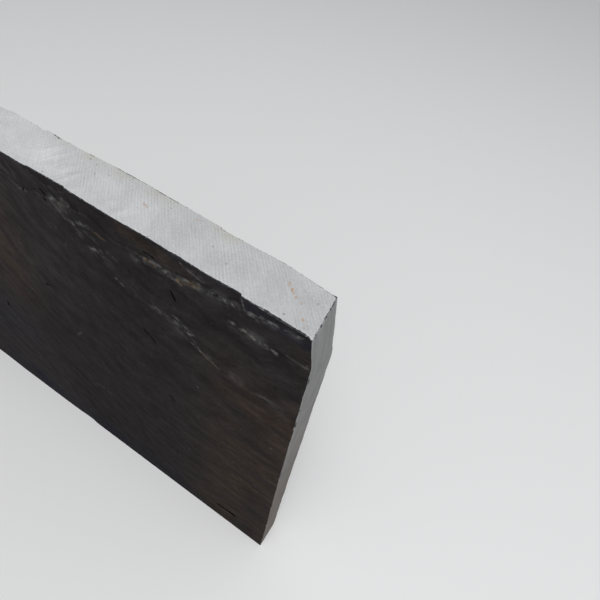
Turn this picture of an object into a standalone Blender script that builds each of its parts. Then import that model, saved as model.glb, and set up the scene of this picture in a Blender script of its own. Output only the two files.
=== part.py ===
"""A riven slate slab, standing upright on one of its long sawn edges.

The stone is one piece. Its front (-Y) and back (+Y) are riven: split along the cleavage, so
they carry low ledges where thin sheets have come away, a diagonal grain, swells and a few dents.
Its top, bottom and both ends are sawn flat, and the eight long arrises are a little chipped.
Units are metres, +X runs along the slab, +Z is up and the origin is under its middle.
"""

import math
import random

import bmesh
import bpy
import numpy as np
from mathutils import Vector, noise
from mathutils.geometry import delaunay_2d_cdt

# Driving dimensions
LENGTH = 0.900  # sawn end to sawn end
HEIGHT = 0.600  # sawn bottom edge to sawn top edge
THICKNESS = 0.040  # over the proudest points of the two riven faces
MM = 0.001

# The right end's saw cut is out of plumb, and leans in further over the last stretch below the top
END_LEAN = 0.0035  # how far the top of the end falls short of its foot, before that last stretch
KNEE_BELOW_TOP = 0.0437  # where that stretch starts, in the middle of the thickness
KNEE_SLANT = 0.857  # how much lower it starts for each step towards the back
KNEE_SLOPE = 0.13  # how far the end comes in for each step up from there
KNEE_BLEND = 0.060  # length of slab over which the riven faces follow that lean

# Riven faces
RISER = 0.0016  # width of the steep front of a ledge
DROP_SWING = 0.25  # a ledge is a little taller and lower by turns along its line
DROP_PERIOD = 0.023
GRAIN_ANGLE = math.radians(-42)  # the grain falls towards the right end
GRAIN_BOW = 0.137  # and is bowed: steeper left of the crest of the bow, nearly level at the right end
GRAIN_BOW_CREST = 0.22
GRAIN_BOW_RATE = 4.9
GRAIN_LONG = 0.150
GRAIN_SHORT = 0.034
GRAIN_DEPTH = 0.0009
SWELL_SPAN = 0.240
SWELL_DEPTH = 0.0020
MEAN_DEPTH = 0.0007  # how far the face lies below its proudest points, before sheets are lost
PROFILE_SPAN = 0.030  # how far from the top or bottom the line of an arris still rules
FOOT_DEPTH = 0.0008  # the bottom arrises run straight, this far below the proudest points

# Terraces: sheets lost one after another, each up to a contour of a field drawn out along the grain
TERRACE_LONG = 0.310
TERRACE_SHORT = 0.140
TERRACE_RAGGED = 0.38  # share of a second field, a third of the size, that makes the outlines ragged
TERRACE_LEVELS = (-0.30, -0.02, 0.27)
TERRACE_SLOPE = 2.6  # least rise of the field over a metre that still makes a steep front
TERRACE_PROBE = 0.001
TERRACE_GRID = 0.024  # spacing of the lines on which their contours are found

# Spacing of the facets
STATION = 0.018
CELL = 0.031
CELL_JITTER = 0.25
CELL_CLEAR = 0.008  # no grid point closer than this to a ledge
CLEAR_OF_EDGE = 0.010
RAIL_CLEAR = 0.0045  # no ledge point closer than this to an arris
LEDGE_STEP = 0.018
LEDGE_WANDER = 0.13  # as a share of the run that is broken

# Wear along the arrises
ARRIS_WEAR = 0.0006
CHIP_DEPTH = 0.0030
CHIP_SPACING = 0.021
SPLITS_ACROSS = 3  # points across the thickness, between the two riven faces

# Ledges of the front: a line of places (millimetres left of the right end, millimetres below the top
# edge) with a sheet missing on its left hand, or on its right where the drop is under 0. Then the drop,
# how far the loss reaches, and the length over which it dies out at the start and at the end of the line.
FRONT_LEDGES = {
    "top strip": (
        [(905, 36), (760, 47), (640, 30), (520, 40), (450, 25), (350, 31), (266, 23), (219, 19),
         (198, 16), (168, 21), (129, 24), (104, 25), (83, 18), (64, 14), (53, 12), (51, -5)],
        1.4, 60, 0, 0,
    ),
    "end flake": ([(50, 13), (37, 12), (17, 7), (4, 2), (-8, -1)], 0.8, 20, 6, 0),
    "arris nick": ([(234, -4), (227, 6), (206, 9), (198, 6), (196, -5)], 0.8, 20, 0, 0),
    "middle ledge": ([(-6, 110), (32, 106), (55, 105), (91, 91), (128, 78), (170, 72)], 0.8, 70, 0, 40),
    "low ledge": ([(-6, 333), (60, 352), (150, 338), (240, 371), (330, 362), (420, 398)], 1.0, 90, 0, 60),
    "left scar": ([(906, 330), (800, 300), (700, 215), (640, 190), (585, 120)], 1.3, 80, 0, 50),
    "foot flake": ([(610, 606), (560, 560), (470, 535), (395, 556), (345, 606)], -1.0, 40, 0, 0),
}

# Ledges of the back, which splits more roughly
BACK_LEDGES = {
    "top lip": (
        [(905, 62), (800, 50), (700, 74), (590, 58), (505, 85), (430, 66), (350, 34), (290, 20), (246, -5)],
        1.9, 80, 0, 0,
    ),
    "end lip": ([(96, -5), (90, 26), (60, 41), (28, 36), (-6, 52)], 1.2, 50, 0, 0),
    "long ledge": (
        [(905, 250), (780, 205), (660, 236), (540, 190), (420, 222), (300, 175), (190, 196), (-6, 150)],
        1.5, 110, 0, 0,
    ),
    "cross ledge": ([(352, 250), (300, 330), (250, 372), (170, 392), (80, 452), (-6, 470)], -1.3, 90, 40, 0),
    "left ledge": ([(906, 430), (820, 400), (720, 428), (620, 486), (560, 500)], 1.2, 90, 0, 50),
    "foot lip": ([(760, 606), (700, 566), (600, 548), (520, 570), (480, 606)], -1.4, 50, 0, 0),
}

# Line of each top arris: (millimetres left of the right end, millimetres below the proudest plane)
FRONT_ARRIS = [
    (0, 0.0), (30, 0.1), (42, 0.8), (56, 1.7), (78, 0.5), (122, 1.6), (140, 1.5), (160, 1.0), (193, 1.1),
    (225, 0.3), (262, 0.0),
]
BACK_ARRIS = [
    (0, 3.5), (8, 3.4), (16, 2.8), (28, 1.8), (40, 0.8), (74, 0.6), (114, 0.6), (140, 0.3), (156, 0.0),
    (188, 0.1), (201, 1.1), (222, 1.8), (240, 2.2), (258, 0.5), (300, 0.3),
]

# Dents: place as above, half length, half width, depth (all in millimetres), and slope in degrees
FRONT_DENTS = [
    (64, 541, 17, 4.0, 1.6, 8),
    (297, 210, 12, 4.0, 0.9, -45),
    (135, 236, 9, 4.0, 0.8, -72),
    (520, 300, 16, 5.0, 1.2, -38),
    (705, 455, 14, 5.0, 1.1, -50),
]
BACK_DENTS = [
    (230, 130, 15, 5.0, 1.3, 30),
    (640, 340, 20, 6.0, 1.4, 42),
    (120, 300, 12, 5.0, 1.1, 20),
]

FRONT_SEED = 11
FRONT_STEP = 0.0006
BACK_SEED = 47
BACK_STEP = 0.0008
SLATE_RIVEN = (0.022, 0.022, 0.024, 1.0)
SLATE_SAWN = (0.42, 0.43, 0.44, 1.0)


def face_point(left, below):
    """Place on a riven face, from millimetres left of the right end and below the top edge."""
    return LENGTH / 2 - left * MM, HEIGHT - below * MM


def smooth(t):
    t = np.clip(t, 0.0, 1.0)
    return t * t * (3 - 2 * t)


def broken_line(points, seed):
    """The line through the points, each run broken in half a little to one side, again and again."""
    rng = random.Random(seed)

    def broken(start, end):
        run = math.dist(start, end)
        if run < LEDGE_STEP:
            return [start]
        off = rng.uniform(-LEDGE_WANDER, LEDGE_WANDER)
        middle = (
            (start[0] + end[0]) / 2 + (start[1] - end[1]) * off,
            (start[1] + end[1]) / 2 + (end[0] - start[0]) * off,
        )
        return broken(start, middle) + broken(middle, end)

    line = []
    for start, end in zip(points, points[1:]):
        line += broken(start, end)
    return line + [points[-1]]


def read_ledges(table, seed):
    """The ledges in metres: (broken line, drop, reach, start fade, end fade)."""
    ledges = []
    for number, (points, drop, reach, fade_in, fade_out) in enumerate(table.values()):
        line = broken_line([face_point(*p) for p in points], seed + number)
        ledges.append((line, drop * MM, reach * MM, fade_in * MM, fade_out * MM))
    return ledges


def beside_line(line, x, z):
    """Signed distance from the line, more than 0 on its left hand, and the distance along it."""
    best = np.full(x.shape, np.inf)
    side = np.zeros(x.shape)
    along = np.zeros(x.shape)
    travelled = 0.0
    for (ax, az), (bx, bz) in zip(line, line[1:]):
        run = math.dist((ax, az), (bx, bz))
        ux, uz = (bx - ax) / run, (bz - az) / run
        t = np.clip((x - ax) * ux + (z - az) * uz, 0.0, run)
        away = np.hypot(x - ax - ux * t, z - az - uz * t)
        cross = ux * (z - az) - uz * (x - ax)
        nearer = away < best - 1e-9
        best = np.where(nearer, away, best)
        side = np.where(nearer, np.where(cross >= 0, away, -away), side)
        along = np.where(nearer, travelled + t, along)
        travelled += run
    return side, along, travelled


def ledge_depth(ledge, x, z):
    """How much of the stone's thickness is missing beside one ledge."""
    line, drop, reach, fade_in, fade_out = ledge
    side, along, total = beside_line(line, x, z)
    if drop < 0:
        side = -side
    depth = abs(drop) * (1 + DROP_SWING * np.sin(along / DROP_PERIOD))
    depth = depth * smooth(side / RISER + 0.5) * np.exp(-((np.maximum(side, 0.0) / reach) ** 2))
    if fade_in:
        depth = depth * smooth(along / fade_in)
    if fade_out:
        depth = depth * smooth((total - along) / fade_out)
    return depth


def dent_depth(dent, x, z):
    left, below, half_long, half_wide, deep, slope = dent
    cx, cz = face_point(left, below)
    c, s = math.cos(math.radians(slope)), math.sin(math.radians(slope))
    along = ((x - cx) * c + (z - cz) * s) / (half_long * MM)
    across = (-(x - cx) * s + (z - cz) * c) / (half_wide * MM)
    return deep * MM * np.exp(-(along**2 + across**2) * 1.5)


def noise_at(x, z, layer):
    values = [noise.noise(Vector((a, b, layer))) for a, b in zip(x.ravel(), z.ravel())]
    return np.array(values).reshape(x.shape)


def along_grain(x, z):
    c, s = math.cos(GRAIN_ANGLE), math.sin(GRAIN_ANGLE)
    bow = GRAIN_BOW * np.cos((x - GRAIN_BOW_CREST) * GRAIN_BOW_RATE)
    return x * c + z * s, z * c - x * s + bow


def terrace_field(x, z, seed):
    along, across = along_grain(x, z)
    along, across = along / TERRACE_LONG, across / TERRACE_SHORT
    ragged = noise_at(3 * along, 3 * across, seed + 0.75)
    return noise_at(along, across, seed + 0.25) + TERRACE_RAGGED * ragged


def terrace_slope(x, z, seed):
    """The field of the terraces and its rise over a metre along X and along Z."""
    field = terrace_field(x, z, seed)
    rise_x = (terrace_field(x + TERRACE_PROBE, z, seed) - field) / TERRACE_PROBE
    rise_z = (terrace_field(x, z + TERRACE_PROBE, seed) - field) / TERRACE_PROBE
    return field, rise_x, rise_z


def terrace_depth(x, z, seed, step):
    field, rise_x, rise_z = terrace_slope(x, z, seed)
    slope = np.maximum(np.hypot(rise_x, rise_z), TERRACE_SLOPE)
    return step * sum(smooth((field - level) / slope / RISER + 0.5) for level in TERRACE_LEVELS)


def riven_depth(x, z, seed, step, ledges, arris, dents):
    """Depth of a riven face below its proudest plane, at the points (x, z)."""
    along, across = along_grain(x, z)
    depth = MEAN_DEPTH + SWELL_DEPTH * noise_at(x / SWELL_SPAN, z / SWELL_SPAN, seed)
    depth = depth + GRAIN_DEPTH * noise_at(along / GRAIN_LONG, across / GRAIN_SHORT, seed + 0.5)
    depth = depth + terrace_depth(x, z, seed, step)
    places = [LENGTH / 2 - left * MM for left, _ in reversed(arris)]
    recess = [deep * MM for _, deep in reversed(arris)]
    hold = np.exp(-(((HEIGHT - z) / PROFILE_SPAN) ** 2)) * smooth((x - places[0]) / PROFILE_SPAN)
    depth = depth * (1 - hold) + np.interp(x, places, recess) * hold
    foot_hold = np.exp(-((z / PROFILE_SPAN) ** 2))
    depth = depth * (1 - foot_hold) + FOOT_DEPTH * foot_hold
    for ledge in ledges:
        depth = depth + ledge_depth(ledge, x, z)
    for dent in dents:
        depth = depth + dent_depth(dent, x, z)
    return np.maximum(depth, 0.0)


def knee_height(y):
    """Height at which the right end's cut starts to lean in further, at one place in the thickness."""
    return HEIGHT - KNEE_BELOW_TOP - KNEE_SLANT * y


def shift_for_lean(x, y, z):
    """The place x, moved with the right end's cut as it comes in with the height z."""
    knee_lean = KNEE_SLOPE * max(0.0, z - knee_height(y))
    near_end = min(1.0, max(0.0, (x - LENGTH / 2 + KNEE_BLEND) / KNEE_BLEND))
    return x - knee_lean * near_end - END_LEAN * z / HEIGHT * (x / LENGTH + 0.5)


def wear(place, edge):
    """How far an arris is worn back at a place along it: a little everywhere, more at a chip."""
    fine = noise.noise(Vector((place / (0.4 * CHIP_SPACING), edge * 7.3, 1.7)))
    chip = noise.noise(Vector((place / CHIP_SPACING, edge * 5.1, 9.2)))
    return ARRIS_WEAR * (1.0 + 0.5 * fine) + CHIP_DEPTH * max(0.0, chip - 0.22) ** 1.3


def thinned(points, spacing, taken=()):
    """The first point in each square of the spacing, leaving out the squares already taken."""
    filled = {(round(x / spacing), round(z / spacing)) for x, z in taken}
    kept = []
    for x, z in points:
        square = (round(x / spacing), round(z / spacing))
        if square not in filled:
            filled.add(square)
            kept.append((x, z))
    return kept


class RivenFace:
    """One split face: its depth everywhere, and the facets that carry it."""

    def __init__(self, side, seed, step, ledges, arris, dents):
        self.side = side  # -1 for the front, +1 for the back
        self.seed = seed
        self.step = step  # height of one terrace
        self.ledges = read_ledges(ledges, seed)
        self.arris = arris
        self.dents = dents

    def surface(self, x, z):
        """Y of the face at the points (x, z)."""
        x, z = np.asarray(x, float), np.asarray(z, float)
        depth = riven_depth(x, z, self.seed, self.step, self.ledges, self.arris, self.dents)
        return self.side * (THICKNESS / 2 - depth)

    def crossings(self, axis):
        """Places where ledges leave the slab, on the sawn faces that run along the axis (0 is X, 1 is Z)."""
        limits = (0.0, HEIGHT) if axis == 0 else (-LENGTH / 2, LENGTH / 2)
        found = []
        for line, *_ in self.ledges:
            for start, end in zip(line, line[1:]):
                for limit in limits:
                    a, b = start[1 - axis] - limit, end[1 - axis] - limit
                    if a * b < 0:
                        found.append(start[axis] + (end[axis] - start[axis]) * a / (a - b))
        return found

    def ledge_rails(self):
        """Two rows of points along each ledge, at the head and the foot of its steep front."""
        rails = []
        for line, *_ in self.ledges:
            for before, here, after in zip([line[0]] + line, line, line[1:] + [line[-1]]):
                run = math.dist(before, after)
                off_x = (before[1] - after[1]) / run * RISER / 2
                off_z = (after[0] - before[0]) / run * RISER / 2
                rails += [(here[0] + sign * off_x, here[1] + sign * off_z) for sign in (-1, 1)]
        return rails

    def terrace_rails(self):
        """Two rows of points along each terrace, found where its contour crosses the lines of a grid."""
        columns, rows = round(LENGTH / TERRACE_GRID), round(HEIGHT / TERRACE_GRID)
        gx, gz = np.meshgrid(
            np.linspace(-LENGTH / 2, LENGTH / 2, columns + 1),
            np.linspace(0.0, HEIGHT, rows + 1),
            indexing="ij",
        )
        field = terrace_field(gx, gz, self.seed)
        crossed = []
        for level in TERRACE_LEVELS:
            for near, far in ((np.s_[:-1, :], np.s_[1:, :]), (np.s_[:, :-1], np.s_[:, 1:])):
                a, b = field[near] - level, field[far] - level
                cut = a * b < 0
                t = (a / np.where(cut, a - b, 1.0))[cut]
                x = gx[near][cut] + (gx[far] - gx[near])[cut] * t
                z = gz[near][cut] + (gz[far] - gz[near])[cut] * t
                crossed.append((x, z))
        x, z = np.concatenate(crossed, axis=1)
        _, rise_x, rise_z = terrace_slope(x, z, self.seed)
        slope = np.hypot(rise_x, rise_z)
        steep = slope > TERRACE_SLOPE
        off_x = (rise_x / slope * RISER / 2)[steep]
        off_z = (rise_z / slope * RISER / 2)[steep]
        x, z = x[steep], z[steep]
        rails = list(zip(x + off_x, z + off_z)) + list(zip(x - off_x, z - off_z))
        return self.clear_of_ledges(rails, 2 * RISER)

    def clear_of_ledges(self, points, distance):
        x, z = np.array(points).T
        clear = np.full(x.shape, True)
        for line, *_ in self.ledges:
            clear &= np.abs(beside_line(line, x, z)[0]) > distance
        return [point for point, keep in zip(points, clear) if keep]

    def inner_points(self):
        """Points inside the outline: rails along the ledges and terraces, and a loose grid between them."""
        rails = [
            (x, z) for x, z in self.ledge_rails() + self.terrace_rails()
            if abs(x) < LENGTH / 2 - RAIL_CLEAR and RAIL_CLEAR < z < HEIGHT - RAIL_CLEAR
        ]
        rails = thinned(rails, RISER)
        columns = round((LENGTH - 2 * CLEAR_OF_EDGE) / CELL)
        rows = round((HEIGHT - 2 * CLEAR_OF_EDGE) / CELL)
        rng = random.Random(self.seed)
        grid = []
        for i in range(columns + 1):
            for j in range(rows + 1):
                x = (LENGTH - 2 * CLEAR_OF_EDGE) * (i / columns - 0.5)
                z = CLEAR_OF_EDGE + (HEIGHT - 2 * CLEAR_OF_EDGE) * j / rows
                x += rng.uniform(-CELL_JITTER, CELL_JITTER) * CELL * (0 < i < columns)
                z += rng.uniform(-CELL_JITTER, CELL_JITTER) * CELL * (0 < j < rows)
                grid.append((x, z))
        return rails + thinned(self.clear_of_ledges(grid, CELL_CLEAR), CELL_CLEAR, rails)


def stations(length_axis, faces):
    """Places of the facets' corners along a sawn face, shared by the front and the back."""
    low, high = (-LENGTH / 2, LENGTH / 2) if length_axis == 0 else (0.0, HEIGHT)
    fixed = [low, high]
    if length_axis == 1:
        fixed += [knee_height(-THICKNESS / 2), knee_height(THICKNESS / 2)]
    for face in faces:
        for place in face.crossings(length_axis):
            fixed += [place - RISER / 2, place + RISER / 2]
    fixed = sorted(p for p in fixed if low <= p <= high)
    merged = [fixed[0]]
    for place in fixed[1:]:
        if place - merged[-1] > RISER * 0.6:
            merged.append(place)
    merged[-1] = high
    places = []
    for start, end in zip(merged, merged[1:]):
        pieces = max(1, round((end - start) / STATION))
        places += [start + (end - start) * i / pieces for i in range(pieces)]
    return places + [high]


class Slab:
    """Collects the corners and facets of the whole stone."""

    def __init__(self):
        self.points = []
        self.facets = []
        self.sawn = []

    def add(self, x, y, z):
        self.points.append((x, y, z))
        return len(self.points) - 1

    def facet(self, corners, sawn=False):
        self.facets.append(tuple(corners))
        self.sawn.append(sawn)

    def strip(self, row, other_row, sawn=False):
        for i in range(len(row) - 1):
            self.facet((row[i], row[i + 1], other_row[i + 1], other_row[i]), sawn)


def add_riven_face(slab, face, xs, zs, edge):
    """Facets of one riven face. Returns its rim: the corner numbers along each of its four sides."""
    rim = [(x, 0.0) for x in xs] + [(x, HEIGHT) for x in xs]
    rim += [(end, z) for z in zs[1:-1] for end in (-LENGTH / 2, LENGTH / 2)]
    flat = [Vector(p) for p in rim + face.inner_points()]
    spots, _, triangles, *_ = delaunay_2d_cdt(flat, [], [], 0, 1e-6)
    us = np.array([p.x for p in spots])
    vs = np.array([p.y for p in spots])
    ys = face.surface(us, vs)
    names = {}
    for u, v, y in zip(us, vs, ys):
        x, z = u, v
        on_left, on_right = u < -LENGTH / 2 + MM / 100, u > LENGTH / 2 - MM / 100
        on_bottom, on_top = v < MM / 100, v > HEIGHT - MM / 100
        z += wear(u, edge) * on_bottom - wear(u, edge + 1) * on_top
        x = shift_for_lean(x, y, z) + wear(v, edge + 2) * on_left - wear(v, edge + 3) * on_right
        names[(round(u * 1e5), round(v * 1e5))] = slab.add(x, y, z)
    numbers = list(names.values())
    for triangle in triangles:
        slab.facet(numbers[i] for i in triangle)

    def number(u, v):
        return names[(round(u * 1e5), round(v * 1e5))]

    return {
        "bottom": [number(x, 0.0) for x in xs],
        "top": [number(x, HEIGHT) for x in xs],
        "left": [number(-LENGTH / 2, z) for z in zs],
        "right": [number(LENGTH / 2, z) for z in zs],
    }


def add_sawn_rows(slab, face, xs, zs, edge):
    """The rows of corners where the four sawn faces start, just behind one riven face's rim."""
    rows = {}
    for name, height in (("bottom", 0.0), ("top", HEIGHT)):
        ys = face.surface(xs, [height] * len(xs))
        rows[name] = []
        for x, y in zip(xs, ys):
            inward = wear(y, edge + 6) * (abs(x) > LENGTH / 2 - MM / 100) * math.copysign(1, x)
            y -= face.side * wear(x, edge + 4 + (name == "top"))
            rows[name].append(slab.add(shift_for_lean(x, y, height) - inward, y, height))
    for name, end in (("left", -LENGTH / 2), ("right", LENGTH / 2)):
        ys = face.surface([end] * len(zs), zs)
        rows[name] = []
        for z, y in zip(zs, ys):
            height = z + wear(y, edge + 7) * ((z == zs[0]) - (z == zs[-1]))
            y -= face.side * wear(z, edge + 4 + (name == "right"))
            rows[name].append(slab.add(shift_for_lean(end, y, height), y, height))
    return rows


def add_across(slab, name, along, front_corner, back_corner):
    """Corners across the thickness, on one sawn face, between its two riven arrises."""
    start, end = slab.points[front_corner], slab.points[back_corner]
    row = [front_corner]
    for i in range(1, SPLITS_ACROSS + 1):
        t = i / (SPLITS_ACROSS + 1)
        x, y, z = (a + (b - a) * t for a, b in zip(start, end))
        chip = wear(y, along)
        inward = -math.copysign(1, x)
        if name in ("top", "bottom"):
            x = shift_for_lean(math.copysign(LENGTH / 2, x), y, z) + inward * chip
        else:
            z = chip if z < HEIGHT / 2 else HEIGHT - chip
            x = shift_for_lean(math.copysign(LENGTH / 2, x), y, z)
        row.append(slab.add(x, y, z))
    return row + [back_corner]


def build_slab():
    front = RivenFace(-1, FRONT_SEED, FRONT_STEP, FRONT_LEDGES, FRONT_ARRIS, FRONT_DENTS)
    back = RivenFace(1, BACK_SEED, BACK_STEP, BACK_LEDGES, BACK_ARRIS, BACK_DENTS)
    xs = stations(0, (front, back))
    zs = stations(1, (front, back))
    slab = Slab()
    front_rim = add_riven_face(slab, front, xs, zs, 10)
    back_rim = add_riven_face(slab, back, xs, zs, 30)
    front_rows = add_sawn_rows(slab, front, xs, zs, 10)
    back_rows = add_sawn_rows(slab, back, xs, zs, 30)

    # Chipped arrises between the riven and the sawn faces
    for rim, rows in ((front_rim, front_rows), (back_rim, back_rows)):
        for name in ("bottom", "top", "left", "right"):
            slab.strip(rim[name], rows[name])
        for level, level_end in (("bottom", 0), ("top", -1)):
            for end, end_place in (("left", 0), ("right", -1)):
                slab.facet((rim[level][end_place], rows[level][end_place], rows[end][level_end]))

    # Rows across the thickness, where a sawn edge meets a sawn end
    across = {}
    for level, level_end in (("bottom", 0), ("top", -1)):
        for end, end_place in (("left", 0), ("right", -1)):
            chips = 50 + 2 * level_end + end_place
            flat = add_across(slab, level, chips, front_rows[level][end_place], back_rows[level][end_place])
            upright = add_across(slab, end, chips + 9, front_rows[end][level_end], back_rows[end][level_end])
            slab.strip(flat, upright)
            across[level, end] = flat
            across[end, level] = upright

    # The sawn faces themselves, each one flat, and the right end in two flats that meet at the knee
    for level in ("bottom", "top"):
        outline = front_rows[level] + across[level, "right"][1:-1]
        outline += back_rows[level][::-1] + across[level, "left"][-2:0:-1]
        slab.facet(outline, sawn=True)
    outline = front_rows["left"] + across["left", "top"][1:-1]
    outline += back_rows["left"][::-1] + across["left", "bottom"][-2:0:-1]
    slab.facet(outline, sawn=True)
    front_knee = zs.index(min(zs, key=lambda z: abs(z - knee_height(-THICKNESS / 2))))
    back_knee = zs.index(min(zs, key=lambda z: abs(z - knee_height(THICKNESS / 2))))
    upper = front_rows["right"][front_knee:] + across["right", "top"][1:-1]
    upper += back_rows["right"][:back_knee - 1:-1]
    lower = front_rows["right"][front_knee::-1] + across["right", "bottom"][1:-1]
    lower += back_rows["right"][:back_knee + 1]
    slab.facet(upper, sawn=True)
    slab.facet(lower, sawn=True)
    return slab


def slate(name, colour, roughness):
    material = bpy.data.materials.new(name)
    material.use_nodes = True
    shader = material.node_tree.nodes["Principled BSDF"]
    shader.inputs["Base Color"].default_value = colour
    shader.inputs["Roughness"].default_value = roughness
    shader.inputs["Metallic"].default_value = 0.0
    return material


def make_object(slab):
    mesh = bpy.data.meshes.new("slab")
    mesh.from_pydata(slab.points, [], slab.facets)
    mesh.materials.append(slate("slate_riven", SLATE_RIVEN, 0.62))
    mesh.materials.append(slate("slate_sawn", SLATE_SAWN, 0.85))
    for polygon, sawn in zip(mesh.polygons, slab.sawn):
        polygon.material_index = int(sawn)
    shape = bmesh.new()
    shape.from_mesh(mesh)
    bmesh.ops.triangulate(shape, faces=[f for f in shape.faces if len(f.verts) > 3])
    bmesh.ops.recalc_face_normals(shape, faces=shape.faces)
    shape.to_mesh(mesh)
    shape.free()
    stone = bpy.data.objects.new("slab", mesh)
    bpy.context.collection.objects.link(stone)
    return stone


for leftover in list(bpy.data.objects):
    bpy.data.objects.remove(leftover)
make_object(build_slab())
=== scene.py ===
import random
from dataclasses import dataclass
from functools import partial, reduce
from math import copysign, cos, dist, exp, log, pi, radians, sin

import bmesh
import bpy
import numpy as np
from mathutils import Matrix, Vector, noise
from mathutils.geometry import delaunay_2d_cdt


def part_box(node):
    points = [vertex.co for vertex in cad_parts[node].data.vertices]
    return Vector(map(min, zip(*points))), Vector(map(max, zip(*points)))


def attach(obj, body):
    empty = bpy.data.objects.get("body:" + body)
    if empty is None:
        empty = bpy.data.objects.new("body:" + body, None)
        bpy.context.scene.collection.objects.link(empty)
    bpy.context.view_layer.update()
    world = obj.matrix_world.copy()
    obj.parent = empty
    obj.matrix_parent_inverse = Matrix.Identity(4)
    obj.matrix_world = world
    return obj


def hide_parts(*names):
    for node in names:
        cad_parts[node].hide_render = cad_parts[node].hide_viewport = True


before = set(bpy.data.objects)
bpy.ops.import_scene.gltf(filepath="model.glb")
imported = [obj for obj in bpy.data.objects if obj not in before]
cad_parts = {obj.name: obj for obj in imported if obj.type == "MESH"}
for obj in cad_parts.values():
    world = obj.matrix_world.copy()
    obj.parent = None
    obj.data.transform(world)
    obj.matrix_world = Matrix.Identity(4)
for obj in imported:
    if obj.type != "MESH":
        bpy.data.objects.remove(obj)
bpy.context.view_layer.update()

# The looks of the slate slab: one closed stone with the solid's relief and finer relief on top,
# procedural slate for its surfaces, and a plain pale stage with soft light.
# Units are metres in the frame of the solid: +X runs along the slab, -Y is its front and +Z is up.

MM = 0.001
LOW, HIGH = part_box("slab")
LENGTH = HIGH[0] - LOW[0]
THICKNESS = HIGH[1] - LOW[1]
HEIGHT = HIGH[2]
HALF = LENGTH / 2

# ---- camera, light and stage

# The camera stands a little above and in front of the top right corner, and is rolled
CAMERA_PLACE = (0.485, -0.14915, 0.8065)
CAMERA_RIGHT = (0.8402, 0.5274, 0.1263)
CAMERA_UP = (-0.487, 0.6313, 0.6036)
CAMERA_LENS = 27.25  # millimetres, on Blender's own 36 mm sensor

KEY_PLACE, KEY_AIM = (1.0, -0.9, 3.6), (0.2, 0.0, 0.4)
KEY_SIZE, KEY_POWER = (2.0, 2.0), 84.0
WORLD_COLOUR, WORLD_STRENGTH = (0.97, 0.985, 1.0, 1.0), 0.45


def add_object(name, data):
    item = bpy.data.objects.new(name, data)
    bpy.context.collection.objects.link(item)
    return item


def add_camera():
    data = bpy.data.cameras.new("camera")
    data.lens = CAMERA_LENS
    data.clip_start = 0.01
    camera = add_object("camera", data)
    right = Vector(CAMERA_RIGHT).normalized()
    back = right.cross(Vector(CAMERA_UP)).normalized()
    up = back.cross(right)
    turn = Matrix((right, up, back)).transposed().to_4x4()
    camera.matrix_world = Matrix.Translation(CAMERA_PLACE) @ turn
    bpy.context.scene.camera = camera


def add_key_light():
    data = bpy.data.lights.new("key", "AREA")
    data.shape = "RECTANGLE"
    data.size, data.size_y = KEY_SIZE
    data.energy = KEY_POWER
    light = add_object("key", data)
    light.location = KEY_PLACE
    light.rotation_mode = "QUATERNION"
    light.rotation_quaternion = (Vector(KEY_AIM) - Vector(KEY_PLACE)).to_track_quat("-Z", "Y")


def add_world():
    world = bpy.data.worlds.new("studio")
    world.use_nodes = True
    background = world.node_tree.nodes["Background"]
    background.inputs["Color"].default_value = WORLD_COLOUR
    background.inputs["Strength"].default_value = WORLD_STRENGTH
    bpy.context.scene.world = world


def add_floor():
    """A wide pale floor that sweeps up behind, so that no horizon shows."""
    half, radius, steps = 6.0, 2.0, 12
    turns = [i / steps * pi / 2 for i in range(steps + 1)]
    sweep = [(half - radius + radius * sin(turn), radius * (1 - cos(turn))) for turn in turns]
    profile = [(-half, 0.0), *sweep, (half, half)]
    faces = [(2 * i, 2 * i + 1, 2 * i + 3, 2 * i + 2) for i in range(len(profile) - 1)]
    mesh = bpy.data.meshes.new("floor")
    mesh.from_pydata([(x, y, z) for y, z in profile for x in (-half, half)], [], faces)
    mesh.shade_smooth()
    floor = add_object("floor", mesh)
    material = bpy.data.materials.new("floor")
    material.use_nodes = True
    shader = material.node_tree.nodes["Principled BSDF"]
    shader.inputs["Base Color"].default_value = (0.8, 0.8, 0.8, 1.0)
    shader.inputs["Roughness"].default_value = 0.9
    shader.inputs["Specular IOR Level"].default_value = 0.1
    mesh.materials.append(material)


# ---- relief of the solid, repeated

END_LEAN = 0.0035
KNEE_BELOW_TOP = 0.0437
KNEE_SLANT = 0.857
KNEE_SLOPE = 0.13
KNEE_BLEND = 0.06
KNEE_ROUND = 0.004  # half the height over which the knee is rounded

DROP_SWING = 0.25
DROP_PERIOD = 0.023
GRAIN_ANGLE = radians(-42)
GRAIN_BOW = 0.137
GRAIN_BOW_CREST = 0.22
GRAIN_BOW_RATE = 4.9
SWELL_SPAN = 0.24
SWELL_DEPTH = 0.002
MEAN_DEPTH = 0.0007
PROFILE_SPAN = 0.03
FOOT_DEPTH = 0.0008

TERRACE_LONG = 0.31
TERRACE_SHORT = 0.14
TERRACE_RAGGED = 0.38
TERRACE_LEVELS = (-0.3, -0.02, 0.27)
TERRACE_SLOPE = 2.6
TERRACE_PROBE = 0.001

LEDGE_STEP = 0.018
LEDGE_WANDER = 0.13

ARRIS_WEAR = 0.0006
CHIP_DEPTH = 0.003
CHIP_SPACING = 0.021

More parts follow.
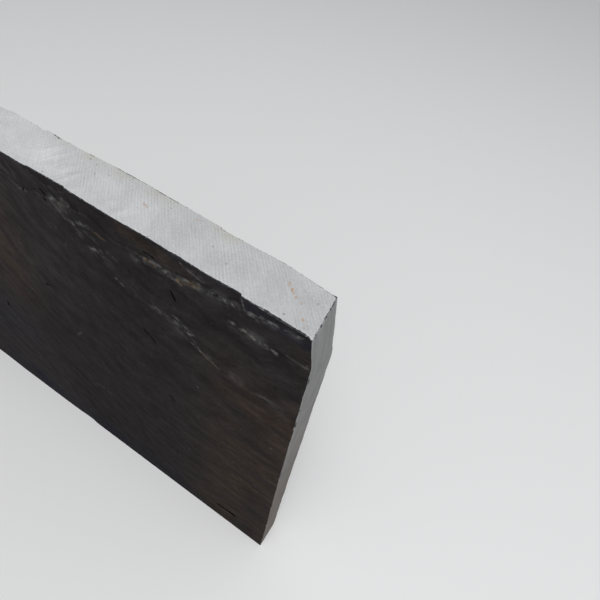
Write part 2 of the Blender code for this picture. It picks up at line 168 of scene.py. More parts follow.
# Ledges: a line of places (millimetres left of the right end, millimetres below the top edge) with a
# sheet missing on its left hand, or on its right where the drop is under 0. Then the drop, how far the
# loss reaches, and the length over which it dies out at the start and at the end of the line.
FRONT_LEDGES = [
    ([(905, 36), (760, 47), (640, 30), (520, 40), (450, 25), (350, 31), (266, 23), (219, 19), (198, 16),
      (168, 21), (129, 24), (104, 25), (83, 18), (64, 14), (53, 12), (51, -5)], 1.4, 60, 0, 0),
    ([(50, 13), (37, 12), (17, 7), (4, 2), (-8, -1)], 0.8, 20, 6, 0),
    ([(234, -4), (227, 6), (206, 9), (198, 6), (196, -5)], 0.8, 20, 0, 0),
    ([(-6, 110), (32, 106), (55, 105), (91, 91), (128, 78), (170, 72)], 0.8, 70, 0, 40),
    ([(-6, 333), (60, 352), (150, 338), (240, 371), (330, 362), (420, 398)], 1, 90, 0, 60),
    ([(906, 330), (800, 300), (700, 215), (640, 190), (585, 120)], 1.3, 80, 0, 50),
    ([(610, 606), (560, 560), (470, 535), (395, 556), (345, 606)], -1, 40, 0, 0),
]
BACK_LEDGES = [
    ([(905, 62), (800, 50), (700, 74), (590, 58), (505, 85), (430, 66), (350, 34), (290, 20), (246, -5)],
     1.9, 80, 0, 0),
    ([(96, -5), (90, 26), (60, 41), (28, 36), (-6, 52)], 1.2, 50, 0, 0),
    ([(905, 250), (780, 205), (660, 236), (540, 190), (420, 222), (300, 175), (190, 196), (-6, 150)],
     1.5, 110, 0, 0),
    ([(352, 250), (300, 330), (250, 372), (170, 392), (80, 452), (-6, 470)], -1.3, 90, 40, 0),
    ([(906, 430), (820, 400), (720, 428), (620, 486), (560, 500)], 1.2, 90, 0, 50),
    ([(760, 606), (700, 566), (600, 548), (520, 570), (480, 606)], -1.4, 50, 0, 0),
]

# Line of each top arris: (millimetres left of the right end, millimetres below the proudest plane)
FRONT_ARRIS = [
    (0, 0), (30, 0.1), (42, 0.8), (56, 1.7), (78, 0.5), (122, 1.6), (140, 1.5), (160, 1), (193, 1.1),
    (225, 0.3), (262, 0),
]
BACK_ARRIS = [
    (0, 3.5), (8, 3.4), (16, 2.8), (28, 1.8), (40, 0.8), (74, 0.6), (114, 0.6), (140, 0.3), (156, 0),
    (188, 0.1), (201, 1.1), (222, 1.8), (240, 2.2), (258, 0.5), (300, 0.3),
]

# Dents: place as above, half length, half width, depth (all in millimetres), and slope in degrees
FRONT_DENTS = [
    (64, 541, 17, 4, 1.6, 8), (297, 210, 12, 4, 0.9, -45), (135, 236, 9, 4, 0.8, -72),
    (520, 300, 16, 5, 1.2, -38), (705, 455, 14, 5, 1.1, -50),
]
BACK_DENTS = [(230, 130, 15, 5, 1.3, 30), (640, 340, 20, 6, 1.4, 42), (120, 300, 12, 5, 1.1, 20)]

# ---- finer relief than the solid's

RISER = 0.0007  # width of the steep front of a ledge
TERRACE_RISER = 0.0022  # and of a terrace
FINE_LEDGE_STEP = 0.0022
FINE_LEDGE_WANDER = 0.16
TERRACE_TEAR, TERRACE_TORN = 0.013, 0.022  # size and strength of the tears in its outline
# Ripple, fibre and scales along the grain: how long, how wide, how deep, and the layer of the noise
GRAIN_LAYERS = ((0.15, 0.034, 0.0009, 0.5), (0.032, 0.013, 0.00028, 0.6), (0.0125, 0.0068, 0.00013, 0.7))
NICK_ROUGHNESS = 0.45
DENT_FALL = 1.5  # how fast a dent dies out
SLOT_WALL = 1.6  # and a slot
SLOT_SHADE = 1.4  # half width of a slot's painted shade, as a share of the slot's

# Slots where a flake has dropped out: from place, to place, half width and depth in millimetres
FRONT_SLOTS = [
    (224, 16, 220, 22, 1.3, 1.2), (131, 17, 123, 18, 1, 0.7), (111, 41, 108, 50, 1.1, 0.8),
    (151, 124, 140, 134, 1.4, 1), (134, 227, 131, 236, 1.4, 1.1), (296, 210, 287, 217, 1.6, 1),
    (281, 160, 276, 158, 1.2, 0.7), (82, 543, 53, 542, 5, 1.4), (148, 410, 145, 413, 1.4, 0.8),
    (50, 382, 46, 384, 1.2, 0.7), (411, 293, 415, 305, 1.6, 0.9), (612, 402, 590, 421, 2, 1.1),
    (748, 166, 735, 186, 1.8, 1), (824, 512, 806, 521, 1.7, 1),
]
BACK_SLOTS = [
    (700, 122, 676, 138, 2.1, 1.2), (410, 402, 388, 412, 1.8, 1), (212, 506, 190, 520, 2.1, 1.2),
    (88, 215, 74, 226, 1.5, 0.9), (540, 318, 520, 322, 1.8, 1),
]
SLOT_GRID = 0.0011

# Spacing of the facets, from next to the top right corner to the far ends of the slab
RIM_SPACING = (0.001, 0.0024)
CELL_JITTER = 0.25
ACROSS_SPACING = 0.0006
TERRACE_GRID = 0.0045
SAWN_CELL = 0.0095
SAWN_MARGIN = 0.0045
EDGE_GIVE = 0.008  # worn arrises pull the surface along over this width
CHAMFER_ROWS = 2  # rows of corners between the two sides of a broken arris
CHAMFER_WANDER = 0.12  # how far those rows wander, as a share of the strip's width


def face_point(left, below):
    """Place on a riven face, from millimetres left of the right end and below the top edge."""
    return HALF - left * MM, HEIGHT - below * MM


def smooth(t):
    t = np.clip(t, 0.0, 1.0)
    return t * t * (3 - 2 * t)


def noise_at(x, z, layer):
    x, z = np.broadcast_arrays(x, z)
    values = [noise.noise(Vector((a, b, layer))) for a, b in zip(x.ravel(), z.ravel())]
    return np.array(values).reshape(x.shape)


def line_frame(start, end):
    """Where a straight line starts, its unit direction and its length."""
    (ax, az), (bx, bz) = start, end
    run = dist(start, end)
    return ax, az, (bx - ax) / run, (bz - az) / run, run


def broken_line(points, seed, step, wander):
    """The line through the points, broken again and again a little to one side."""
    rng = random.Random(seed)

    def broken(start, end):
        run = dist(start, end)
        if run < step:
            return [start]
        off = rng.uniform(-wander, wander)
        middle = (
            (start[0] + end[0]) / 2 + (start[1] - end[1]) * off,
            (start[1] + end[1]) / 2 + (end[0] - start[0]) * off,
        )
        return broken(start, middle) + broken(middle, end)

    line = []
    for start, end in zip(points, points[1:]):
        line += broken(start, end)
    return line + [points[-1]]


def read_ledges(table, seed):
    """The ledges in metres: (broken line, drop, reach, start fade, end fade)."""
    ledges = []
    for number, (points, drop, reach, fade_in, fade_out) in enumerate(table):
        line = broken_line([face_point(*p) for p in points], seed + number, LEDGE_STEP, LEDGE_WANDER)
        line = broken_line(line, seed + number, FINE_LEDGE_STEP, FINE_LEDGE_WANDER)
        ledges.append((line, drop * MM, reach * MM, fade_in * MM, fade_out * MM))
    return ledges


def beside_line(line, x, z):
    """Distance from the line (over 0 on its left), distance along it, and its length."""
    best = np.full(x.shape, np.inf)
    side = np.zeros(x.shape)
    along = np.zeros(x.shape)
    travelled = 0.0
    for start, end in zip(line, line[1:]):
        ax, az, ux, uz, run = line_frame(start, end)
        t = np.clip((x - ax) * ux + (z - az) * uz, 0.0, run)
        away = np.hypot(x - ax - ux * t, z - az - uz * t)
        cross = ux * (z - az) - uz * (x - ax)
        nearer = away < best - 1e-9
        best = np.where(nearer, away, best)
        side = np.where(nearer, np.where(cross >= 0, away, -away), side)
        along = np.where(nearer, travelled + t, along)
        travelled += run
    return side, along, travelled


def turned(x, z, angle):
    """The place (x, z), measured along axes turned by the angle."""
    c, s = cos(angle), sin(angle)
    return x * c + z * s, z * c - x * s


def along_grain(x, z):
    along, across = turned(x, z, GRAIN_ANGLE)
    return along, across + GRAIN_BOW * np.cos((x - GRAIN_BOW_CREST) * GRAIN_BOW_RATE)


def terrace_field(x, z, seed):
    along, across = along_grain(x, z)
    along, across = along / TERRACE_LONG, across / TERRACE_SHORT
    ragged = noise_at(3 * along, 3 * across, seed + 0.75)
    torn = noise_at(x / TERRACE_TEAR, z / TERRACE_TEAR, seed + 0.85)
    return noise_at(along, across, seed + 0.25) + TERRACE_RAGGED * ragged + TERRACE_TORN * torn


def terrace_slope(x, z, seed):
    """The field of the terraces, and its rise along X and along Z."""
    field = terrace_field(x, z, seed)
    rise_x = (terrace_field(x + TERRACE_PROBE, z, seed) - field) / TERRACE_PROBE
    rise_z = (terrace_field(x, z + TERRACE_PROBE, seed) - field) / TERRACE_PROBE
    return field, rise_x, rise_z


def dent_depth(dent, x, z):
    left, below, half_long, half_wide, deep, slope = dent
    cx, cz = face_point(left, below)
    along, across = turned(x - cx, z - cz, radians(slope))
    away = (along / (half_long * MM)) ** 2 + (across / (half_wide * MM)) ** 2
    return deep * MM * np.exp(-DENT_FALL * away)


def placed(marks, point=face_point):
    """A table's marks in metres: (start, end, half width, strength)."""
    return [(point(a, b), point(c, d), width * MM, strength) for a, b, c, d, width, strength in marks]


def slot_depth(slot, x, z):
    start, end, half_width, deep = slot
    ax, az, ux, uz, run = line_frame(start, end)
    t = ((x - ax) * ux + (z - az) * uz) / run
    away = ((x - ax) * -uz + (z - az) * ux) / half_width
    reach = np.clip(1 - (2 * t - 1) ** 2, 0.0, 1.0) ** 0.5
    return deep * MM * smooth(SLOT_WALL * (reach - np.abs(away))) * (t > 0) * (t < 1)


def mark_strength(marks, x, z):
    """Strength of the strongest of several placed marks at (x, z)."""
    strongest = np.zeros(x.shape)
    for start, end, half_width, strength in marks:
        away = np.abs(beside_line([start, end], x, z)[0])
        strongest = np.maximum(strongest, strength * smooth(1 - away / half_width))
    return strongest


@dataclass
class RivenFace:
    """One split face: its depth everywhere, and the places of its facets' corners."""

    side: int  # -1 for the front, +1 for the back
    kind: int  # of its facets
    edge: int  # number of its first arris
    seed: int
    step: float  # drop of a terrace
    spacing: tuple  # of the facets, near and far
    ledges: list
    arris: list
    dents: list
    slots: list
    tints: tuple  # hazes, browned places and bluish places

    def __post_init__(self):
        self.ledges = read_ledges(self.ledges, self.seed)
        self.slots = placed(self.slots)
        self.tints = [placed(marks) for marks in self.tints]

    def relief(self, x, z):
        """Depth below the proudest plane and the lip (1 on the edge of a ledge, 0 away from one)."""
        along, across = along_grain(x, z)
        depth = MEAN_DEPTH + SWELL_DEPTH * noise_at(x / SWELL_SPAN, z / SWELL_SPAN, self.seed)
        for long, short, deep, layer in GRAIN_LAYERS:
            depth += deep * noise_at(along / long, across / short, self.seed + layer)
        lip = np.zeros(x.shape)
        field, rise_x, rise_z = terrace_slope(x, z, self.seed)
        slope = np.maximum(np.hypot(rise_x, rise_z), TERRACE_SLOPE)
        for level in TERRACE_LEVELS:
            off = (field - level) / slope
            depth += self.step * smooth(off / TERRACE_RISER + 0.5)
            lip = np.maximum(lip, 0.3 * np.exp(-((off / RISER) ** 2)) * (slope > TERRACE_SLOPE))
        places = [HALF - left * MM for left, _ in reversed(self.arris)]
        recess = [deep * MM for _, deep in reversed(self.arris)]
        hold = np.exp(-(((HEIGHT - z) / PROFILE_SPAN) ** 2)) * smooth((x - places[0]) / PROFILE_SPAN)
        depth = depth * (1 - hold) + np.interp(x, places, recess) * hold
        foot_hold = np.exp(-((z / PROFILE_SPAN) ** 2))
        depth = depth * (1 - foot_hold) + FOOT_DEPTH * foot_hold
        for line, drop, reach, fade_in, fade_out in self.ledges:
            side, along, total = beside_line(line, x, z)
            side = side * copysign(1, drop)
            strength = smooth(along / fade_in) if fade_in else 1.0
            strength = strength * (smooth((total - along) / fade_out) if fade_out else 1.0)
            height = abs(drop) * (1 + DROP_SWING * np.sin(along / DROP_PERIOD)) * strength
            depth += height * smooth(side / RISER + 0.5) * np.exp(-((np.maximum(side, 0.0) / reach) ** 2))
            lip = np.maximum(lip, strength * np.exp(-(((side + RISER / 2) / (1.5 * RISER)) ** 2)))
        for dent in self.dents:
            depth += dent_depth(dent, x, z)
        for slot in self.slots:
            depth += slot_depth(slot, x, z)
        return np.maximum(depth, 0.0), lip

    def masks(self, x, z, lip):
        """The values of MASKS at the points (x, z)."""
        # the slots' masks mark where painted shade darkens them
        slots = [(start, end, SLOT_SHADE * half_width, 1.0) for start, end, half_width, _ in self.slots]
        return np.stack([lip] + [mark_strength(marks, x, z) for marks in (slots, *self.tints)], axis=-1)

    def surface(self, x, z):
        """Y of the face at the points (x, z)."""
        return self.side * (THICKNESS / 2 - self.relief(x, z)[0])

    def ledge_rails(self):
        """Four rows of points along each ledge, two on either side of its steep front."""
        rails = []
        for line, *_ in self.ledges:
            for before, here, after in zip([line[0]] + line, line, line[1:] + [line[-1]]):
                run = dist(before, after)
                off_x = (before[1] - after[1]) / run * RISER / 2
                off_z = (after[0] - before[0]) / run * RISER / 2
                rails += [(here[0] + k * off_x, here[1] + k * off_z) for k in (-1, 1, -4, 4)]
        return rails

    def terrace_rails(self):
        """Two rows of points along each terrace, where its contour crosses a grid."""
        columns, rows = round(LENGTH / TERRACE_GRID), round(HEIGHT / TERRACE_GRID)
        xs, zs = np.linspace(-HALF, HALF, columns + 1), np.linspace(0.0, HEIGHT, rows + 1)
        gx, gz = np.meshgrid(xs, zs, indexing="ij")
        field = terrace_field(gx, gz, self.seed)
        crossed = []
        for level in TERRACE_LEVELS:
            for near, far in ((np.s_[:-1, :], np.s_[1:, :]), (np.s_[:, :-1], np.s_[:, 1:])):
                a, b = field[near] - level, field[far] - level
                cut = a * b < 0
                t = (a / np.where(cut, a - b, 1.0))[cut]
                x = gx[near][cut] + (gx[far] - gx[near])[cut] * t
                z = gz[near][cut] + (gz[far] - gz[near])[cut] * t
                crossed.append((x, z))
        x, z = np.concatenate(crossed, axis=1)
        _, rise_x, rise_z = terrace_slope(x, z, self.seed)
        slope = np.hypot(rise_x, rise_z)
        steep = slope > TERRACE_SLOPE
        off_x = (rise_x / slope * TERRACE_RISER / 2)[steep]
        off_z = (rise_z / slope * TERRACE_RISER / 2)[steep]
        x, z = x[steep], z[steep]
        return list(zip(x + off_x, z + off_z)) + list(zip(x - off_x, z - off_z))

    def slot_points(self):
        """A close grid over each slot, laid along it."""
        points = []
        for start, end, half_width, _ in self.slots:
            ax, az, ux, uz, run = line_frame(start, end)
            for i in range(-1, round(run / SLOT_GRID) + 2):
                for j in range(-3, 4):
                    along, across = i * SLOT_GRID, j * half_width / 2.5
                    points.append((ax + ux * along - uz * across, az + uz * along + ux * across))
        return points

    def grid_points(self):
        """A loose grid whose cells grow from the top right corner to the far ends."""
        rng = random.Random(self.seed)
        xs = graded(LENGTH, *self.spacing)
        zs = graded(HEIGHT, *self.spacing)
        points = []
        for i in range(1, len(xs) - 1):
            for j in range(1, len(zs) - 1):
                x = xs[i] + rng.uniform(-CELL_JITTER, CELL_JITTER) * (xs[i + 1] - xs[i])
                z = zs[j] + rng.uniform(-CELL_JITTER, CELL_JITTER) * (zs[j + 1] - zs[j])
                points.append((HALF - x, HEIGHT - z))
        return points

    def inner_points(self):
        """Points inside the outline. Of two close together, the first stays."""
        points = thinned(self.ledge_rails(), RISER / 2)
        points += thinned(self.slot_points() + self.terrace_rails(), RISER, points)
        points += thinned(self.grid_points(), self.spacing[0] / 2, points)
        clear = RIM_SPACING[0]
        return [(x, z) for x, z in points if abs(x) < HALF - clear and clear < z < HEIGHT - clear]


def graded(length, near, far):
    """Places from 0 to the length, at spacings that grow from near to far."""
    growth = log(far / near)
    count = round(length / (far - near) * growth)
    return [length * (exp(growth * i / count) - 1) / (far / near - 1) for i in range(count + 1)]


def thinned(points, spacing, taken=()):
    """The first point in each square of the spacing that isn't taken yet."""
    filled = {(round(x / spacing), round(z / spacing)) for x, z in taken}
    kept = {}
    for x, z in points:
        kept.setdefault((round(x / spacing), round(z / spacing)), (x, z))
    return [place for square, place in kept.items() if square not in filled]


# ---- wear along the arrises

# Nicks: how many to a metre, the range of their half lengths and the range of their depths
COMMON_NICKS = (34, (0.0008, 0.0034), (0.0002, 0.0011))
END_NICKS = (600, (0.0003, 0.001), (0.0002, 0.0008))
CLEAN_NICKS = (14, (0.0006, 0.002), (0.0001, 0.0005))
NICK_SEED, NICKED_LENGTH = 1000, 1.3 * LENGTH
CORNER_EDGE = 100  # the arrises are numbered, to tell their wear apart: these for two sawn faces


def nick_depth(place, edge, kind):
    """Depth of the nicks at places along an arris."""
    rate, half_lengths, depths = kind
    rng = random.Random(NICK_SEED + edge)
    depth = np.zeros(place.shape)
    for _ in range(round(rate * NICKED_LENGTH)):
        middle = rng.uniform(-NICKED_LENGTH / 2, NICKED_LENGTH / 2)
        half, deep = rng.uniform(*half_lengths), rng.uniform(*depths) * rng.random()
        depth = np.maximum(depth, deep * np.clip(1 - ((place - middle) / half) ** 2, 0.0, 1.0) ** 0.6)
    return depth


def wear(place, edge, kind=COMMON_NICKS):
    """How far an arris is worn back at places along it, with its chips and nicks."""
    fine = noise_at(place / (0.4 * CHIP_SPACING), edge * 7.3, 1.7)
    chip = noise_at(place / CHIP_SPACING, edge * 5.1, 9.2)
    ragged = noise_at(place / 0.0016, edge * 3.7, 4.1) + 0.6 * noise_at(place / 0.0007, edge, 6.3)
    depth = ARRIS_WEAR * (0.75 + 0.4 * fine) + CHIP_DEPTH * np.maximum(0.0, chip - 0.22) ** 1.3
    return np.maximum(depth + 1.1 * nick_depth(place, edge, kind), 0.0) * (1 + NICK_ROUGHNESS * ragged)


def lean(x, y, z):
    """The place x, moved with the right end's cut and its rounded knee."""
    rise = z - (HEIGHT - KNEE_BELOW_TOP - KNEE_SLANT * y)
    rounded = (rise + KNEE_ROUND) ** 2 / (4 * KNEE_ROUND)
    rise = np.where(np.abs(rise) < KNEE_ROUND, rounded, np.maximum(rise, 0.0))
    near_end = np.clip((x - HALF + KNEE_BLEND) / KNEE_BLEND, 0.0, 1.0)
    return x - KNEE_SLOPE * rise * near_end - END_LEAN * z / HEIGHT * (x / LENGTH + 0.5)


def give(distance):
    return np.clip(1 - distance / EDGE_GIVE, 0.0, 1.0)


# ---- the mesh of the stone

RIVEN_FRONT, RIVEN_BACK, SAWN_EDGE, SAWN_END, BROKEN = range(5)
LEVELS, ENDS = ("bottom", "top"), ("left", "right")
CHIP_SHOWS = 0.00085  # an arris worn back further than this shows broken stone
STRIP_SHOWS = 1.5 * CHIP_SHOWS  # the same, across the whole strip between two faces
BRIDGE_SHARE = 1.25  # the same where two sawn faces meet, as a share of the least wear there
SHARP_ANGLE = radians(34)

# Values at the corners of a riven face, from 0 to 1, that its colour is made of; the slot value marks where
# the slots get painted shade
MASKS = ("lip", "slot", "haze", "brown", "blue")


class Stone:
    """Collects the corners and facets of the whole stone."""

    def __init__(self):
        self.points, self.masks, self.facets, self.kinds = [], [], [], []

    def add(self, x, y, z, masks=(0.0,) * len(MASKS)):
        self.points.append((float(x), float(y), float(z)))
        self.masks.append(masks)
        return len(self.points) - 1

    def add_all(self, xs, ys, zs):
        return [self.add(*p) for p in zip(xs, ys, zs)]

    def facet(self, corners, kind):
        self.facets.append(tuple(corners))
        self.kinds.append(kind)


def add_riven_face(stone, face, xs, zs):
    """Facets of one riven face. Returns the corner numbers along its four sides."""
    sides = {
        "bottom": [(x, 0.0) for x in xs],
        "top": [(x, HEIGHT) for x in xs],
        "left": [(-HALF, z) for z in zs],
        "right": [(HALF, z) for z in zs],
    }
    rim = list(dict.fromkeys(place for side in sides.values() for place in side))
    flat = [Vector(p) for p in rim + face.inner_points()]
    spots, _, triangles, origins, *_ = delaunay_2d_cdt(flat, [], [], 0, 1e-7)
    us = np.array([p.x for p in spots])
    vs = np.array([p.y for p in spots])
    depth, lip = face.relief(us, vs)
    bottom = wear(us, face.edge, CLEAN_NICKS) * give(vs)
    top = wear(us, face.edge + 1) * give(HEIGHT - vs)
    z = vs + bottom - top
    left = wear(vs, face.edge + 2, CLEAN_NICKS) * give(us + HALF)
    right = wear(vs, face.edge + 3, CLEAN_NICKS) * give(HALF - us)
    y = face.side * (THICKNESS / 2 - depth)
    x = lean(us, y, z) + left - right
    numbers = [stone.add(*corner) for corner in zip(x, y, z, face.masks(us, vs, lip))]
    for triangle in triangles:
        stone.facet([numbers[i] for i in triangle], face.kind)
    corner_at = {rim[i]: n for n, merged in zip(numbers, origins) for i in merged if i < len(rim)}
    return {name: [corner_at[place] for place in side] for name, side in sides.items()}


def add_sawn_rows(stone, face, xs, zs):
    """Corners where the sawn faces start, just behind one riven face's rim."""
    rows = {}
    xs, zs = np.array(xs), np.array(zs)
    for k, height in enumerate((0.0, HEIGHT)):
        z = np.full(xs.shape, height)
        y = face.surface(xs, z) - face.side * wear(xs, face.edge + 4 + k)
        x = lean(xs, y, z)
        x += corner_wear(y[0], LEVELS[k], "left") * give(xs + HALF)
        x -= corner_wear(y[-1], LEVELS[k], "right") * give(HALF - xs)
        rows[LEVELS[k]] = stone.add_all(x, y, z)
    for k, end in enumerate((-HALF, HALF)):
        x = np.full(zs.shape, end)
        y = face.surface(x, zs) - face.side * wear(zs, face.edge + 6 + k)
        z = zs + corner_wear(y[0], ENDS[k], "bottom") * give(zs)
        z -= corner_wear(y[-1], ENDS[k], "top") * give(HEIGHT - zs)
        rows[ENDS[k]] = stone.add_all(lean(x, y, z), y, z)
    return rows


def corner_wear(y, face_name, other_name):
    """Wear on one face of an arris that two sawn faces share."""
    number = sum(ord(letter) for letter in face_name + 2 * other_name) % 97
    return wear(y, CORNER_EDGE + number, END_NICKS)


def add_arris(stone, rim, row, seed, pale):
    """The broken strip between a riven face's rim and a sawn face's row."""
    start = np.array([stone.points[i] for i in rim])
    end = np.array([stone.points[i] for i in row])
    width = np.linalg.norm(end - start, axis=1)
    lengthways = np.abs(start[0] - start[-1]) > HEIGHT / 2
    rows = [rim]
    place = np.arange(len(rim)) / 3.0
    for k in range(1, CHAMFER_ROWS + 1):
        t = k / (CHAMFER_ROWS + 1) + CHAMFER_WANDER * noise_at(place, seed, 2.0 + k)
        between = start + (end - start) * t[:, None]
        inward = np.sign((0.0, 0.0, HEIGHT / 2) - between)
        inward[:, lengthways] = 0.0
        hollow = width * (0.05 + 0.1 * noise_at(2 * place, seed, 5.0 + k))
        rows.append(stone.add_all(*(between + inward * hollow[:, None]).T))
    rows.append(row)
    shows = width > STRIP_SHOWS
    kinds = [BROKEN if not pale or a or b else SAWN_END for a, b in zip(shows, shows[1:])]
    for row_a, row_b in zip(rows, rows[1:]):
        for *corners, kind in zip(row_a, row_a[1:], row_b[1:], row_b, kinds):
            stone.facet(corners, kind)
    return rows


def add_across(stone, name, other, front_corner, back_corner):
    """Corners across the thickness on the sawn face `name`, along the arris it shares with `other`."""
    start, end = stone.points[front_corner], stone.points[back_corner]
    count = round((end[1] - start[1]) / ACROSS_SPACING)
    ys = start[1] + (end[1] - start[1]) * (np.arange(1, count) / count)
    worn = corner_wear(ys, name, other)
    if name in LEVELS:
        zs = np.full(ys.shape, start[2])
        sign = 1 if other == "right" else -1
        xs = lean(sign * HALF, ys, zs) - sign * worn
    else:
        zs = HEIGHT - worn if other == "top" else worn
        xs = lean(copysign(HALF, start[0]), ys, zs)
    return [front_corner] + stone.add_all(xs, ys, zs) + [back_corner], worn


def fill_sawn(stone, outline, up, kind):
    """Facets of a flat sawn face, which lies along Y and the axis `up`."""
    flat = [Vector((stone.points[i][1], stone.points[i][up])) for i in outline]
    low = [min(p[k] for p in flat) + SAWN_MARGIN for k in range(2)]
    high = [max(p[k] for p in flat) - SAWN_MARGIN for k in range(2)]
    counts = [max(1, round((high[k] - low[k]) / SAWN_CELL)) for k in range(2)]
    for i in range(counts[0] + 1):
        for j in range(counts[1] + 1):
            a = low[0] + (high[0] - low[0]) * i / counts[0]
            b = low[1] + (high[1] - low[1]) * (j + 0.3 * (i % 2)) / (counts[1] + 0.3)
            flat.append(Vector((a, b)))
    spots, _, triangles, origins, *_ = delaunay_2d_cdt(flat, [], [list(range(len(outline)))], 1, 1e-7)
    numbers = {}
    for spot in {i for triangle in triangles for i in triangle}:
        if origins[spot][0] < len(outline):
            numbers[spot] = outline[origins[spot][0]]
            continue
        place = list(stone.points[outline[0]])
        place[1], place[up] = spots[spot]
        if kind == SAWN_END:
            place[0] = float(lean(copysign(HALF, place[0]), place[1], place[2]))
        numbers[spot] = stone.add(*place)
    for triangle in triangles:
        stone.facet([numbers[i] for i in triangle], kind)


# Corners of a riven face: each side, and the place of the corner in the other side
CORNERS = [(level, i, end, j) for level, i in zip(LEVELS, (0, -1)) for end, j in zip(ENDS, (0, -1))]


def build_stone():
    front = RivenFace(
        side=-1, kind=RIVEN_FRONT, edge=10, seed=11, step=0.0006, spacing=(0.0028, 0.0054),
        ledges=FRONT_LEDGES, arris=FRONT_ARRIS, dents=FRONT_DENTS, slots=FRONT_SLOTS,
        tints=(FRONT_HAZES, FRONT_BROWNS, FRONT_BLUES),
    )
    back = RivenFace(
        side=1, kind=RIVEN_BACK, edge=30, seed=47, step=0.0008, spacing=(0.0046, 0.007),
        ledges=BACK_LEDGES, arris=BACK_ARRIS, dents=BACK_DENTS, slots=BACK_SLOTS,
        tints=(BACK_HAZES, BACK_BROWNS, BACK_BLUES),
    )
    xs = [HALF - x for x in reversed(graded(LENGTH, *RIM_SPACING))]
    zs = [HEIGHT - z for z in reversed(graded(HEIGHT, *RIM_SPACING))]
    xs[0], zs[0] = -HALF, 0.0
    stone = Stone()
    rims = [add_riven_face(stone, face, xs, zs) for face in (front, back)]
    rows = [add_sawn_rows(stone, face, xs, zs) for face in (front, back)]

    # Broken arrises between riven and sawn faces, and the facet where two of them meet
    for side in (0, 1):
        arrises = {}
        for number, name in enumerate(LEVELS + ENDS):
            seed = 9 * side + number
            arrises[name] = add_arris(stone, rims[side][name], rows[side][name], seed, name in ENDS)
        for level, i, end, j in CORNERS:
            down = [row[j] for row in arrises[level]]
            back_up = [row[i] for row in arrises[end]][:0:-1]
            stone.facet(down + back_up, BROKEN)

    # Arrises that two sawn faces share
    across = {}
    for level, i, end, j in CORNERS:
        flat, worn = add_across(stone, level, end, rows[0][level][j], rows[1][level][j])
        upright, _ = add_across(stone, end, level, rows[0][end][i], rows[1][end][i])
        bridge(stone, flat, upright, max(worn.min(), CHIP_SHOWS))
        across[level, end] = flat
        across[end, level] = upright

    # The sawn faces themselves
    for names, (first, last), kind, up in ((LEVELS, ENDS, SAWN_EDGE, 0), (ENDS, LEVELS, SAWN_END, 2)):
        for name in names:
            outline = rows[0][name] + across[name, last][1:-1]
            outline += rows[1][name][::-1] + across[name, first][-2:0:-1]
            fill_sawn(stone, outline, up, kind)
    return stone


def bridge(stone, row, other_row, chip):
    """Facets between two rows of corners that start and end together."""
    i = j = 0
    while i < len(row) - 1 or j < len(other_row) - 1:
        ahead = i / (len(row) - 1) <= j / (len(other_row) - 1)
        a, b = stone.points[row[i]], stone.points[other_row[j]]
        kind = BROKEN if dist(a, b) > BRIDGE_SHARE * chip else SAWN_END
        if (ahead and i < len(row) - 1) or j == len(other_row) - 1:
            stone.facet((row[i], row[i + 1], other_row[j]), kind)
            i += 1
        else:
            stone.facet((row[i], other_row[j + 1], other_row[j]), kind)
            j += 1


def add_stone(materials):
    stone = build_stone()
    mesh = bpy.data.meshes.new("slate_slab")
    mesh.from_pydata(stone.points, [], stone.facets)
    for material in materials:
        mesh.materials.append(material)
    mesh.polygons.foreach_set("material_index", stone.kinds)
    for name, values in zip(MASKS, np.array(stone.masks).T):
        mesh.attributes.new(name, "FLOAT", "POINT").data.foreach_set("value", values)
    shape = bmesh.new()
    shape.from_mesh(mesh)
    bmesh.ops.triangulate(shape, faces=[f for f in shape.faces if len(f.verts) > 4])
    bmesh.ops.recalc_face_normals(shape, faces=shape.faces)
    shape.to_mesh(mesh)
    shape.free()
    mesh.shade_smooth()
    mesh.set_sharp_from_angle(angle=SHARP_ANGLE)
    return add_object("slate_slab", mesh)


# ---- slate


class Nodes:
    """Wires one tree. A number, a tuple or a node's output may feed an input."""

    def __init__(self, tree):
        self.nodes, self.links = tree.nodes, tree.links

    def feed(self, socket, value):
        if isinstance(value, bpy.types.NodeSocket):
            self.links.new(value, socket)
        elif value is not None:
            socket.default_value = value

    def node(self, kind, *values, **settings):
        node = self.nodes.new("ShaderNode" + kind)
        for name, value in settings.items():
            setattr(node, name, value)
        for socket, value in zip(node.inputs, values):
            self.feed(socket, value)
        return node

    def math(self, operation, *values, clamp=False):
        return self.node("Math", *values, operation=operation, use_clamp=clamp).outputs[0]

    def times(self, *values):
        return reduce(partial(self.math, "MULTIPLY"), values)

    def plus(self, *values):
        return reduce(partial(self.math, "ADD"), values)

    def most(self, *values):
        return reduce(partial(self.math, "MAXIMUM"), values)

    def vector_math(self, operation, *values):
        outputs = self.node("VectorMath", *values, operation=operation).outputs
        return outputs["Value"] if operation in ("DOT_PRODUCT", "LENGTH") else outputs["Vector"]

    def scale(self, vector, *amounts):
        """A vector or a colour times one number after another."""
        for amount in amounts:
            vector = self.vector_math("SCALE", vector, None, None, amount)
        return vector

    def ramp(self, value, low, high, to_low=0.0, to_high=1.0):
        """The value taken smoothly from low..high to to_low..to_high."""
        values = (value, low, high, to_low, to_high)
        return self.node("MapRange", *values, interpolation_type="SMOOTHSTEP").outputs[0]


